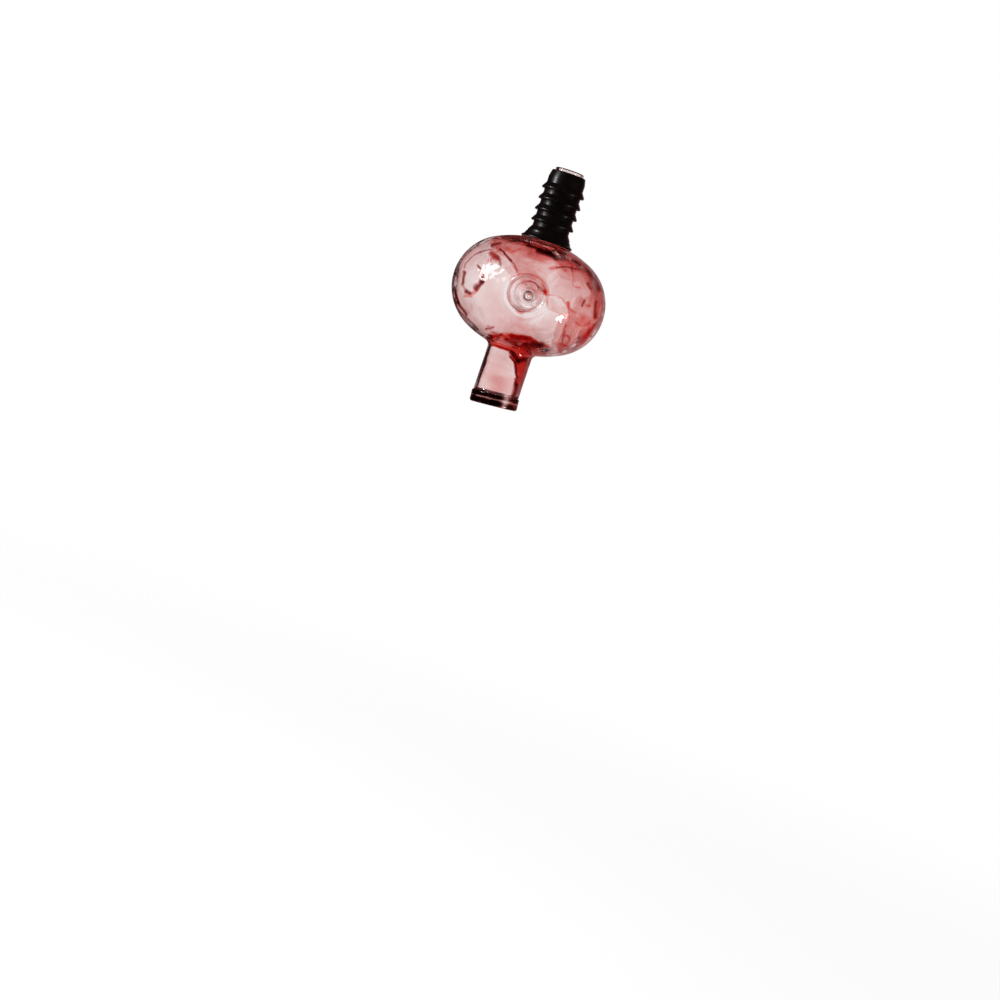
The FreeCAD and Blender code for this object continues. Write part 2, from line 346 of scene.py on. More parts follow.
# The same along Y for the rim and the front, from the navel's axis, and past the edge of the deeper flash
RIM_GRAZED = (-16 * MM, -11 * MM)
FRONT_BEGINS = (0, -2 * MM)
NAVEL_PAINTED = (9.5 * MM, 8.5 * MM)
NAVEL_THINNED = (8 * MM, 12 * MM)
RINGS_BEGIN = (14 * MM, 22 * MM)
EDGE_SOFT = (-0.5 * MM, 0.5 * MM)
FOLDING_BEGINS = (-1 * MM, 3 * MM)

# How deep the flash lies there, how its edge leans towards the back, and how its wisps stretch along the rings
OUTER_ROSE = 0.35
INNER_ROSE = 0.3
STEM_SHARE = 0.3
NAVEL_SHARE = 0.1
GRAZED_SHARE = 0.4
CROWN_DEPTH = 0.8
SPOUT_LOW_SHARE = 0.4
EDGE_LEAN = 0.08
DRAWN_REACH = 16 * MM
DRAWN_STRETCH = 1.5

# The lip's two dark rings, painted shade for the dark that the lip's tight curves refract: shares of its height
# where each begins and ends, a gap in them where a highlight falls, and their thinner side
LIP_GROOVE = ((-0.02, 0.06), (0.42, 0.34))
LIP_FOOT = ((0.56, 0.66), (1.08, 1.0))
LIP_GAP_PLACE = 5.3 * MM
LIP_GAP_REACH = 2.2 * MM
LIP_GAP_SHARE = 0.85
LIP_THINS = (0, 6 * MM)
LIP_THIN_SHARE = 0.4

# The single numbers among the flash's fields
FIELDS = ("beyond", "pane", "rose", "fold", "throat", "crown", "smoke_and_shade", "lip", "front", "spout", "dent", "ring")

# Patterns in the flash, from crest to crest
DRIFT_SIZE = 7 * MM
WISP_SIZE = 11 * MM
PATCH_SIZE = 6 * MM
FOLD_GAP_SIZE = 5 * MM
SWAY_SIZE = 5 * MM
LANE_SIZE = 13 * MM
LANE_STRAY = 16 * MM
LANE_PITCH = 2.6 * MM
RARE_SIZE = 10 * MM
LIP_SHADE_PATCH_SIZE = 5 * MM
RIPPLE_SIZE = 9 * MM
DENT_SIZE = 3.5 * MM

# The values at which a pattern's noise begins to show and is full, and how edge-on the wall is seen
WISP_CONTRAST = (0.34, 0.68)
PATCH_CONTRAST = (0.34, 0.62)
FOLD_GAP_CONTRAST = (0.4, 0.6)
RARE_CONTRAST = (0.42, 0.56)
LIP_SHADE_CONTRAST = (0.35, 0.6)
EDGE_ON_CONTRAST = (0.3, 1)

# Widths of the flash's edges, and of its threads from their rim to their middle
ROSE_EDGE = (-0.4 * MM, 0.4 * MM)
THROAT_EDGE = (-0.3 * MM, 0.3 * MM)
SPOUT_EDGE = (0, 1.2 * MM)
EDGE_THREAD = (0.7 * MM, 0)
RING_THREAD = (0.6 * MM, 0)

# Depths of the flash on either side of those, and at the least and the most of each pattern
ROSE_DEPTHS = (0.3, 1.2)
PANE_DEPTHS = (1, 0.5)
WISP_DEPTHS = (0.7, 1.5)
EDGE_ON_DEPTHS = (1, 4)
PATCH_DEPTHS = (0.65, 1.5)
FOLD_GAP_DEPTHS = (0.25, 1.1)
THROAT_DEPTHS = (0, 2)
SPOUT_DEPTHS = (0, 1.1)
EDGE_THREAD_DEPTHS = (0, 1.2)
RING_THREAD_DEPTHS = (0, 2.6)
LIP_SHADE_DEPTHS = (3, 6.5)
THREAD_SHARE = 0.6
DENT_SHARE = 0.8

# Patterns in the rubber
GRAIN_SIZE = 0.35 * MM
GRAIN_DEPTH = 0.05 * MM
GRAIN_STRENGTH = 0.15
WEAR_SIZE = 5 * MM
WEAR_CONTRAST = (0.3, 0.7)
WEAR_ROUGHNESS = (0.24, 0.36)


def arc(centre, radius, start, stop, steps):
    """Points on a circle in the half plane (r, z): centre plus radius times the angle's cosine and sine."""
    angle = np.radians(np.linspace(start, stop, steps + 1))
    return np.stack([centre[0] + radius * np.cos(angle), centre[1] + radius * np.sin(angle)], 1)


def straight(start, stop, steps):
    """Evenly spaced points on the line from start to stop: start plus the share t of the way."""
    t = np.linspace(0, 1, steps + 1)[:, None]
    return np.array(start) * (1 - t) + np.array(stop) * t


def joined(*stretches):
    """One run of points from stretches that end where the next begins, each shared point once."""
    return np.concatenate([stretches[0]] + [s[1:] for s in stretches[1:]])


class Oval:
    """The bulb's half outline, grown by an amount: a side arc about a ring, and a cap arc above and below."""

    def __init__(self, grow):
        shoulder = 2 * BULB_CAP_RADIUS * BULB_HALF_HEIGHT - BULB_RADIUS**2 - BULB_HALF_HEIGHT**2
        shoulder /= 2 * (BULB_CAP_RADIUS - BULB_RADIUS)
        self.ring = BULB_RADIUS - shoulder
        self.side = shoulder + grow
        self.cap = BULB_CAP_RADIUS + grow
        self.drop = BULB_CAP_RADIUS - BULB_HALF_HEIGHT
        self.join = math.degrees(math.atan2(self.drop, self.ring))

    def radius(self, height):
        """Radius of the side arc at a height from the bulb's middle: the ring plus the arc's own reach."""
        return self.ring + np.sqrt(self.side**2 - height**2)

    def depth(self, x, height):
        """How far along Y the side stands off the axis: the circle of that height, solved for y at x."""
        return np.sqrt(self.radius(height) ** 2 - x**2)

    def outward(self, x, y, height):
        """Unit normals of the side: from the nearest point of the ring's circle to the surface."""
        across = np.hypot(x, y)
        away = np.stack([x * (1 - self.ring / across), y * (1 - self.ring / across), height], -1)
        return away / np.linalg.norm(away, axis=-1, keepdims=True)

    def root(self, neck, fillet, side):
        """Centre of a neck's root fillet, and the angle of the line from the cap's centre to it."""
        rise = math.sqrt((self.cap + fillet) ** 2 - (neck + fillet) ** 2)
        centre = (neck + fillet, BULB_CENTRE + side * (rise - self.drop))
        return centre, math.degrees(math.atan2(rise, neck + fillet))


def oval_run(oval, top, bottom):
    """The outline from a top neck's wall over the oval to a low neck's wall, and the side arc's first row."""
    top_neck, top_fillet = top
    low_neck, low_fillet = bottom
    top_centre, top_angle = oval.root(top_neck, top_fillet, 1)
    low_centre, low_angle = oval.root(low_neck, low_fillet, -1)
    upper = (0, BULB_CENTRE - oval.drop)
    lower = (0, BULB_CENTRE + oval.drop)
    top_root = arc(top_centre, top_fillet, 180, 180 + top_angle, 10)
    top_cap = arc(upper, oval.cap, top_angle, oval.join, 14)
    side = arc((oval.ring, BULB_CENTRE), oval.side, oval.join, -oval.join, SIDE_ROWS)
    low_cap = arc(lower, oval.cap, -oval.join, -low_angle, 12)
    low_root = arc(low_centre, low_fillet, 180 - low_angle, 180, 12)
    first = len(top_root) + len(top_cap) - 2
    return joined(top_root, top_cap, side, low_cap, low_root), first


def glass_outline():
    """The closed half outline of the glass, the rows where the two side arcs start, and the rows of the lip.

    It runs down the outside from the stem's end to the lip, round the lip, and up the inside to the stem's end.
    """
    stem_bore = STEM_RADIUS - STEM_WALL
    spout_bore = SPOUT_RADIUS - SPOUT_WALL
    lip_radius = SPOUT_RADIUS + LIP_PROUD
    lip_end = LIP_TOP - LIP_HEIGHT
    end = STEM_END - STEM_END_ROUND
    outside, out_first = oval_run(Oval(0), (STEM_RADIUS, STEM_FILLET), (SPOUT_RADIUS, SPOUT_FILLET))
    inside, in_first = oval_run(
        Oval(-BULB_WALL), (stem_bore, STEM_FILLET + BULB_WALL), (spout_bore, SPOUT_FILLET + BULB_WALL)
    )
    stem = joined(
        arc((STEM_RADIUS - STEM_END_ROUND, end), STEM_END_ROUND, 90, 0, 5),
        straight((STEM_RADIUS, end), outside[0], 26),
    )
    spout = straight(outside[-1], (SPOUT_RADIUS, LIP_TOP), SPOUT_ROWS)
    lip = joined(
        arc((SPOUT_RADIUS, LIP_TOP - LIP_PROUD), LIP_PROUD, 90, 0, 5),
        straight((lip_radius, LIP_TOP - LIP_PROUD), (lip_radius, lip_end + LIP_OUTER_ROUND), 4),
        arc((lip_radius - LIP_OUTER_ROUND, lip_end + LIP_OUTER_ROUND), LIP_OUTER_ROUND, 0, -90, 7),
        straight((lip_radius - LIP_OUTER_ROUND, lip_end), (spout_bore + LIP_INNER_ROUND, lip_end), 1),
        arc((spout_bore + LIP_INNER_ROUND, lip_end + LIP_INNER_ROUND), LIP_INNER_ROUND, -90, -180, 5),
        straight((spout_bore, lip_end + LIP_INNER_ROUND), (spout_bore, LIP_TOP), 4),
    )
    bore = straight((spout_bore, LIP_TOP), inside[-1], SPOUT_ROWS)
    inlet = joined(
        straight(inside[0], (stem_bore, end), 26),
        arc((stem_bore + STEM_END_ROUND, end), STEM_END_ROUND, 180, 90, 5),
    )
    down = joined(stem, outside, spout, lip)
    whole = joined(down, bore, inside[::-1], inlet)
    out_row = len(stem) - 1 + out_first
    in_row = len(down) + len(bore) - 2 + len(inside) - 1 - in_first - SIDE_ROWS
    lip_row = len(stem) + len(outside) + len(spout) - 3
    return whole, out_row, in_row, range(lip_row, lip_row + len(lip))


def slanted(x, z, rows, count):
    """Turns the lip's rows about Y by its slant, and shears the tube's rows to that plane by their share."""
    sine, cosine = math.sin(LIP_SLANT), math.cos(LIP_SLANT)
    fall = z[rows] - LIP_TOP
    turned_x = x[rows] * cosine - fall * sine
    z[rows] = LIP_TOP + x[rows] * sine + fall * cosine
    x[rows] = turned_x
    share = np.linspace(0, 1, count + 1)[:-1, None]
    above = np.arange(rows[0] - count, rows[0])
    below = np.arange(rows[-1] + count, rows[-1], -1)
    for tube in (above, below):
        z[tube] += share * x[tube] * math.tan(LIP_SLANT)
    return x, z


def quads(ids):
    """The faces between neighbouring rows and columns of a grid of vertex numbers."""
    return np.stack([ids[:-1, :-1], ids[1:, :-1], ids[1:, 1:], ids[:-1, 1:]], -1).reshape(-1, 4)


def window(first, downward, side):
    """Rows and columns in order round the window that the navel takes from a side arc; side is -1 in front."""
    rows = first + SIDE_ROWS // 2 + np.arange(-WINDOW_ROWS, WINDOW_ROWS + 1) * (1 if downward else -1)
    middle = COLUMNS * 3 // 4 if side < 0 else COLUMNS // 4
    columns = middle + np.arange(-WINDOW_COLUMNS, WINDOW_COLUMNS + 1) * (-side)
    row_ring = np.concatenate(
        [np.full(len(columns) - 1, rows[0]), rows[:-1], np.full(len(columns) - 1, rows[-1]), rows[:0:-1]]
    )
    column_ring = np.concatenate(
        [columns[:-1], np.full(len(rows) - 1, columns[-1]), columns[:0:-1], np.full(len(rows) - 1, columns[0])]
    )
    return row_ring, column_ring


def navel_cone():
    """Distance of the round tip's centre from the middle, and the lean of the cone that is tangent to it."""
    tip = NAVEL_WEB / 2 + DIMPLE_TIP_RADIUS
    reach = BULB_RADIUS - tip
    lean = math.atan2(DIMPLE_MOUTH_RADIUS, reach)
    lean -= math.asin(DIMPLE_TIP_RADIUS / math.hypot(DIMPLE_MOUTH_RADIUS, reach))
    return tip, lean


def swept(start, stop, steps):
    """Unit directions turning evenly from start to stop, both arrays of unit vectors: the great circle."""
    angle = np.arccos(np.clip((start * stop).sum(-1), -1, 1))[:, None, None]
    t = np.linspace(0, 1, steps + 1)[None, :, None]
    mixed = np.sin((1 - t) * angle) * start[:, None] + np.sin(t * angle) * stop[:, None]
    return mixed / np.sin(angle)


def between(start, stop, steps):
    """Points from start to stop, both arrays of points, at even shares of the way."""
    t = np.linspace(0, 1, steps + 1)[None, :, None]
    return start[:, None] * (1 - t) + stop[:, None] * t


def mouth(rim, wall, cone_radius, round_radius):
    """Spokes from a window's rim, over the oval and round the navel's mouth, onto the cone's far end.

    In the plane of each spoke and the Y axis, the round's centre lies the round's radius off the cone and off
    the oval; a few fixed-point steps find it. rim is (x, height) and y counts from the middle towards the rim.
    """
    tip, lean = navel_cone()
    angle = np.arctan2(rim[:, 1], rim[:, 0])
    spoke = np.stack([np.cos(angle), np.zeros_like(angle), np.sin(angle)], -1)
    off_cone = cone_radius + round_radius
    shrunk = Oval(-wall - round_radius)
    along = np.full_like(angle, BULB_RADIUS - tip)
    for _ in range(12):
        across = off_cone * math.cos(lean) + along * math.sin(lean)
        y = shrunk.depth(across * spoke[:, 0], across * spoke[:, 2])
        along = (y - tip + off_cone * math.sin(lean)) / math.cos(lean)
    centre = spoke * across[:, None]
    centre[:, 1] = y
    outward = shrunk.outward(centre[:, 0], centre[:, 1], centre[:, 2])
    to_cone = -spoke * math.cos(lean)
    to_cone[:, 1] = math.sin(lean)
    contact = centre + outward * round_radius
    flat = between(rim, contact[:, [0, 2]], 12)
    oval = Oval(-wall)
    over = np.stack([flat[..., 0], oval.depth(flat[..., 0], flat[..., 1]), flat[..., 1]], -1)
    turn = centre[:, None] + swept(outward, to_cone, 12) * round_radius
    foot = -to_cone * cone_radius
    foot[:, 1] += tip
    straight_part = between(turn[:, -1], foot, 20)
    return np.concatenate([over, turn[:, 1:], straight_part[:, 1:]], 1), spoke, foot


def funnel(rim):
    """The dimple's own surface: its mouth and cone, and a round tip that closes on the axis."""
    spokes, _, foot = mouth(rim, 0, DIMPLE_TIP_RADIUS, DIMPLE_MOUTH_ROUND)
    tip, _ = navel_cone()
    centre = np.array([0, tip, 0])
    to_foot = (foot - centre) / DIMPLE_TIP_RADIUS
    nose = np.zeros_like(to_foot)
    nose[:, 1] = -1
    cap = centre + swept(to_foot, nose, 10) * DIMPLE_TIP_RADIUS
    return np.concatenate([spokes, cap[:, 1:]], 1)


def pillar(rim):
    """The glass round the dimple as the chamber sees it: mouth, cone, round tip and half the waist's groove."""
    radius = DIMPLE_TIP_RADIUS + NAVEL_WALL
    spokes, spoke, foot = mouth(rim, BULB_WALL, radius, DIMPLE_MOUTH_ROUND - NAVEL_WALL)
    tip, _ = navel_cone()
    centre = np.array([0, tip, 0])
    groove = spoke * math.sqrt((radius + NAVEL_WAIST_FILLET) ** 2 - tip**2)
    to_foot = (foot - centre) / radius
    to_groove = (groove - centre) / (radius + NAVEL_WAIST_FILLET)
    round_tip = centre + swept(to_foot, to_groove, 8) * radius
    waist = groove[:, None] + swept(-to_groove, -spoke, 6) * NAVEL_WAIST_FILLET
    return np.concatenate([spokes, round_tip[:, 1:], waist[:, 1:]], 1)


def mesh_object(name, points, faces, fields=None):
    """A smooth-shaded object from the vertices that faces use, welded, with every face turned outwards.

    fields are named numbers or vectors, one for each point, kept as attributes.
    """
    used, faces = np.unique(faces, return_inverse=True)
    faces = faces.reshape(-1, 4)
    mesh = bpy.data.meshes.new(name)
    mesh.from_pydata(points[used].tolist(), [], faces.tolist())
    for label, values in (fields or {}).items():
        kind, slot = ("FLOAT", "value") if values.ndim == 1 else ("FLOAT_VECTOR", "vector")
        layer = mesh.attributes.new(label, kind, "POINT")
        layer.data.foreach_set(slot, values[used].astype(np.float32).ravel())
    work = bmesh.new()
    work.from_mesh(mesh)
    bmesh.ops.remove_doubles(work, verts=work.verts, dist=WELD)
    bmesh.ops.recalc_face_normals(work, faces=work.faces)
    work.to_mesh(mesh)
    work.free()
    mesh.shade_smooth()
    piece = bpy.data.objects.new(name, mesh)
    bpy.context.scene.collection.objects.link(piece)
    return piece


class Sheets:
    """Grids of points gathered into one surface, each point marked 1 on the inner wall and 0 on the outer."""

    def __init__(self):
        self.points = []
        self.faces = []
        self.inner = []
        self.count = 0

    def add(self, grid, inner, wrap_rows=False, keep=None):
        """Adds a grid that wraps across its columns, and down its rows if asked, less the faces not kept."""
        ids = self.count + np.arange(grid.shape[0] * grid.shape[1]).reshape(grid.shape[:2])
        ids = np.concatenate([ids, ids[:, :1]], 1)
        if wrap_rows:
            ids = np.concatenate([ids, ids[:1]], 0)
        faces = quads(ids)
        self.points.append(grid.reshape(-1, 3))
        self.faces.append(faces if keep is None else faces[keep])
        self.inner.append(np.broadcast_to(inner, grid.shape[:2]).reshape(-1))
        self.count += grid.shape[0] * grid.shape[1]


def blown_glass():
    """All the glass as one closed wall: the outline turned about Z, with the navel let in through two windows.

    Point (row, column) is (r cos a, r sin a, z), where r and z are the outline's and a is the column's angle.
    """
    outline, out_row, in_row, lip_rows = glass_outline()
    angle = np.arange(COLUMNS) * 2 * math.pi / COLUMNS
    x = outline[:, :1] * np.cos(angle)
    y = outline[:, :1] * np.sin(angle)
    z = np.repeat(outline[:, 1:], COLUMNS, 1)
    x, z = slanted(x, z, np.array(lip_rows), SPOUT_ROWS)
    grid = np.stack([x, y, z], -1)
    row, column = np.divmod(np.arange(grid.shape[0] * COLUMNS), COLUMNS)
    keep = np.ones(len(row), bool)
    for first in (out_row, in_row):
        low = first + SIDE_ROWS // 2 - WINDOW_ROWS
        in_rows = (row >= low) & (row < low + 2 * WINDOW_ROWS)
        for middle in (COLUMNS // 4, COLUMNS * 3 // 4):
            keep &= ~(in_rows & (column >= middle - WINDOW_COLUMNS) & (column < middle + WINDOW_COLUMNS))
    inside = (np.arange(len(outline)) > lip_rows[-1])[:, None]
    sheets = Sheets()
    sheets.add(grid, inside, wrap_rows=True, keep=keep)
    halves = []
    for side in (-1, 1):
        for first, downward, surface in ((out_row, True, funnel), (in_row, False, pillar)):
            rows, columns = window(first, downward, side)
            rim = grid[rows, columns]
            spokes = surface(np.stack([rim[:, 0], rim[:, 2] - BULB_CENTRE], -1))
            spokes[..., 1] *= side
            spokes[..., 2] += BULB_CENTRE
            spokes[:, 0] = rim
            halves.append(spokes.transpose(1, 0, 2))
    front_funnel, front_pillar, back_funnel, back_pillar = halves
    sheets.add(front_funnel, 0)
    sheets.add(back_funnel, 0)
    sheets.add(np.concatenate([front_pillar, back_pillar[-2::-1]]), 1)
    points = np.concatenate(sheets.points)
    inner = np.concatenate(sheets.inner).astype(float)
    points = uneven(points, inner)
    fields = flash_fields(points, inner)
    return mesh_object("blown_glass", points, np.concatenate(sheets.faces), fields)


def rounded(points, radius):
    """A polyline whose sharper corners are cut back, no further than they can, and bridged by a curve.

    The curve is the quadratic Bezier (1-t)^2 a + 2t(1-t) corner + t^2 b between the two cut points a and b.
    """
    t = np.linspace(0, 1, 5)[:, None]
    out = [points[:1]]
    for before, corner, after in zip(points, points[1:], points[2:]):
        back, on = before - corner, after - corner
        back_length, on_length = np.linalg.norm(back), np.linalg.norm(on)
        turn = math.pi - math.acos(np.clip(back @ on / back_length / on_length, -1, 1))
        if turn < SHARP_CORNER:
            out.append(corner[None])
            continue
        cut = min(radius * math.tan(turn / 2), CORNER_SHARE * back_length, CORNER_SHARE * on_length)
        a = corner + back / back_length * cut
        b = corner + on / on_length * cut
        out.append((1 - t) ** 2 * a + 2 * t * (1 - t) * corner + t**2 * b)
    out.append(points[-1:])
    return np.concatenate(out)


def stopper_outline():
    """The stopper's closed half outline: down the nose, the fins and the skirt, and up inside the bore."""
    taper_start = PLUG_END - PLUG_NOSE_TAPER
    fin = np.array([
        (PLUG_ROOT_RADIUS, FIN_LAND + FIN_RAMP),
        (FIN_RADIUS, FIN_LAND),
        (FIN_RADIUS, 0),
        (PLUG_ROOT_RADIUS, FIN_SWEEP),
    ])
    fins = int((taper_start - FIN_LAND - FIN_RAMP) / FIN_PITCH)
    body = [np.array([(PLUG_NOSE_RADIUS, PLUG_END), (PLUG_ROOT_RADIUS, taper_start)])]
    body += [fin + (0, k * FIN_PITCH) for k in range(fins, 0, -1)]
    body += [fin[:3], np.array([(SKIRT_TOP_RADIUS, 0)])]
    under = Oval(SEAT_GAP)
    foot = BULB_CENTRE - under.drop + math.sqrt(under.cap**2 - SKIRT_RADIUS**2)
    flank = straight((SKIRT_TOP_RADIUS, 0), (SKIRT_RADIUS, foot + SKIRT_EDGE), 5)
    t = np.linspace(0, 1, 6)
    flank -= (4 * t * (1 - t) * SKIRT_SAG)[:, None] * SKIRT_SAG_WAY
    bore = STEM_RADIUS + STEM_FIT
    root, low = under.root(bore, STEM_FILLET, 1)
    out = math.degrees(math.acos(SKIRT_RADIUS / under.cap))
    below = joined(
        arc((0, BULB_CENTRE - under.drop), under.cap, out, low, 5),
        arc(root, STEM_FILLET, 180 + low, 180, 5),
    )
    whole = np.concatenate(body + [flank[1:], below, [(bore, PLUG_END)], body[0][:1]])
    corners = rounded(np.concatenate([whole[-2:-1], whole[:-1], whole[:1]]), MOULD_ROUND)
    return corners[1:-1]


def stopper_rubber():
    """The rubber stopper: its outline turned about Z, with a thin parting line on either side from the mould.

    Columns crowd towards the parting lines by a - c sin 2a, where a is an even angle and c is the crowding, and
    the line stands proud by a bell of the distance from it.
    """
    outline = stopper_outline()
    even = np.arange(COLUMNS) * 2 * math.pi / COLUMNS
    angle = even - PARTING_CROWD * np.sin(2 * even)
    r = np.repeat(outline[:, :1], COLUMNS, 1)
    off = r * np.sin(angle)
    proud = (outline[:, :1] > PLUG_NOSE_RADIUS) * PARTING_PROUD
    r = r + proud * np.exp(-((off / PARTING_WIDTH) ** 2))
    grid = np.stack([r * np.cos(angle), r * np.sin(angle), np.repeat(outline[:, 1:], COLUMNS, 1)], -1)
    sheets = Sheets()
    sheets.add(grid, 0, wrap_rows=True)
    return mesh_object("rubber_stopper", grid.reshape(-1, 3), sheets.faces[0])


def toward(azimuth, elevation):
    """The unit vector to a place round the object: azimuth 0 is -Y and grows towards +X."""
    return Vector(
        (math.sin(azimuth) * math.cos(elevation), -math.cos(azimuth) * math.cos(elevation), math.sin(elevation))
    )


def eye():
    """The eye's matrix: the bulb's middle at its own pixel and distance, with the object's lean as roll."""
    ray = Vector((BULB_PX[0] - FRAME_PX / 2, FRAME_PX / 2 - BULB_PX[1], -FOCAL_PX))
    place = ray / FOCAL_PX * EYE_DEPTH
    back = toward(EYE_AZIMUTH, EYE_ELEVATION)
    right = (-back).cross(Vector((0, 0, 1))).normalized()
    up = right.cross(-back)
    turned_up = up * math.cos(EYE_ROLL) - right * math.sin(EYE_ROLL)
    turned_right = right * math.cos(EYE_ROLL) + up * math.sin(EYE_ROLL)
    facing = Matrix((turned_right, turned_up, back)).transposed()
    aim = place.normalized().rotation_difference(Vector((0, 0, -1))).to_matrix()
    matrix = (facing @ aim).to_4x4()
    matrix.translation = Vector((0, 0, BULB_CENTRE)) + back * place.length
    return matrix


def off_wall(points, bulb_wall, spout_wall):
    """How far points lie outside the bulb's oval or the spout's tube, whichever is nearer, each less a wall."""
    across = np.hypot(points[..., 0], points[..., 1])
    height = points[..., 2] - BULB_CENTRE
    oval = Oval(-bulb_wall)
    side = np.hypot(across - oval.ring, height) - oval.side
    cap = np.hypot(across, np.abs(height) + oval.drop) - oval.cap
    bulb = np.where(np.abs(height) * oval.ring > (across - oval.ring) * oval.drop, cap, side)
    return np.minimum(bulb, np.maximum(across - (SPOUT_RADIUS - spout_wall), height))


def reached(points, ways, *walls):
    """Where lines of sight meet a wall: each goes on by its own distance from the wall, over and over."""
    for _ in range(SIGHT_STEPS):
        points = points + ways * off_wall(points, *walls)[..., None]
    return points


def seen_at(pixels):
    """Places on the front of the inner wall, as x and height from the bulb's middle, that pixels show.

    A line of sight leaves the eye through each pixel. At the outer wall it bends by Snell's law, from d to
    e d + (e c - sqrt(1 - e^2 (1 - c^2))) n with c = -d.n and e = 1 / IOR, and goes on to the inner wall.
    """
    pixels, matrix = np.array(pixels), eye()
    ways = np.insert((pixels - FRAME_PX / 2) * (1, -1), 2, -FOCAL_PX, axis=1) @ np.array(matrix.to_3x3()).T
    ways /= np.linalg.norm(ways, axis=1, keepdims=True)
    met = reached(np.array(matrix.translation), ways, 0, 0)
    steps = 0.01 * MM * np.eye(3)
    outward = np.stack([off_wall(met + step, 0, 0) - off_wall(met - step, 0, 0) for step in steps], 1)
    outward /= np.linalg.norm(outward, axis=1, keepdims=True)
    facing = -(ways * outward).sum(1, keepdims=True)
    bend = facing / GLASS_IOR - np.sqrt(1 - (1 - facing**2) / GLASS_IOR**2)
    inner = reached(met, ways / GLASS_IOR + bend * outward, BULB_WALL, SPOUT_WALL)
    return inner[:, [0, 2]] - (0, BULB_CENTRE)


def smooth(low, high, value):
    """0 below low, 1 above high, and between them the cubic 3t^2 - 2t^3 of the share t of the way."""
    t = np.clip((value - low) / (high - low), 0, 1)
    return t * t * (3 - 2 * t)


def ripple(points, wave, seed):
    """A soft random swell of about -1 to 1: the mean of sines of the place, each along its own direction."""
    draw = np.random.default_rng(seed)
    ways = draw.normal(size=(SINES, 3))
    lengths = wave * draw.uniform(*SINE_SHARES, (SINES, 1))
    ways *= 2 * math.pi / (lengths * np.linalg.norm(ways, axis=1, keepdims=True))
    return np.sin(points @ ways.T + draw.uniform(0, 2 * math.pi, SINES)).mean(1) * SINE_GAIN


def uneven(points, inner):
    """The unevenness of mouth-blown glass: the bulb's walls move towards its middle by a soft random swell."""
    away = points - np.array([0, 0, BULB_CENTRE])
    distance = np.linalg.norm(away, axis=1, keepdims=True)
    share = 1 - smooth(*SWELL_ENDS, np.abs(away[:, 2]))
    outside = (1 + ripple(points, OUTER_WAVE, OUTER_SEED)).clip(0) * OUTER_SWELL / 2
    inside = ripple(points, INNER_WAVE, INNER_SEED) * INNER_SWELL + OUTER_SWELL / 2
    return points - away / distance * (share * np.where(inner > 0.5, inside, outside))[:, None]


def past_line(x, height, pixels):
    """Signed distance past a line of straight runs between the places that pixels show, positive on its left.

    It is the distance to the nearest point of the line.
    """
    line = seen_at(pixels)
    best = np.full(len(x), np.inf)
    past = np.zeros(len(x))
    for start, stop in zip(line, line[1:]):
        along = stop - start
        off = np.stack([x, height], 1) - start
        share = np.clip(off @ along / (along @ along), 0, 1)
        away = np.linalg.norm(off - share[:, None] * along, axis=1)
        side = np.sign(along[0] * off[:, 1] - along[1] * off[:, 0])
        past = np.where(away < best, side * away, past)
        best = np.minimum(away, best)
    return past


def spots(x, height, places):
    """The sum, over some places, of each one's amount times a bell of the distance from it in the XZ plane."""
    whole = np.zeros(len(x))
    middles = seen_at([pixel for pixel, _, _ in places])
    for (middle, level), (_, radius, amount) in zip(middles, places):
        off = np.hypot(x - middle, height - level)
        whole += amount * np.exp(-((off / (radius * MM)) ** 2))
    return whole


def lip_shade_bands(x, height):
    """How much painted shade the lip takes, from 0 to 1: two dark rings along its slanted plane, with a gap."""
    below = (LIP_TOP - BULB_CENTRE - height) * math.cos(LIP_SLANT) + x * math.sin(LIP_SLANT)
    share = below / LIP_HEIGHT
    groove, foot = (smooth(*begins, share) * smooth(*ends, share) for begins, ends in (LIP_GROOVE, LIP_FOOT))
    gap = np.exp(-(((x - LIP_GAP_PLACE) / LIP_GAP_REACH) ** 2))
    return np.maximum(groove, foot) * (1 - LIP_GAP_SHARE * gap) * (1 - LIP_THIN_SHARE * smooth(*LIP_THINS, x))


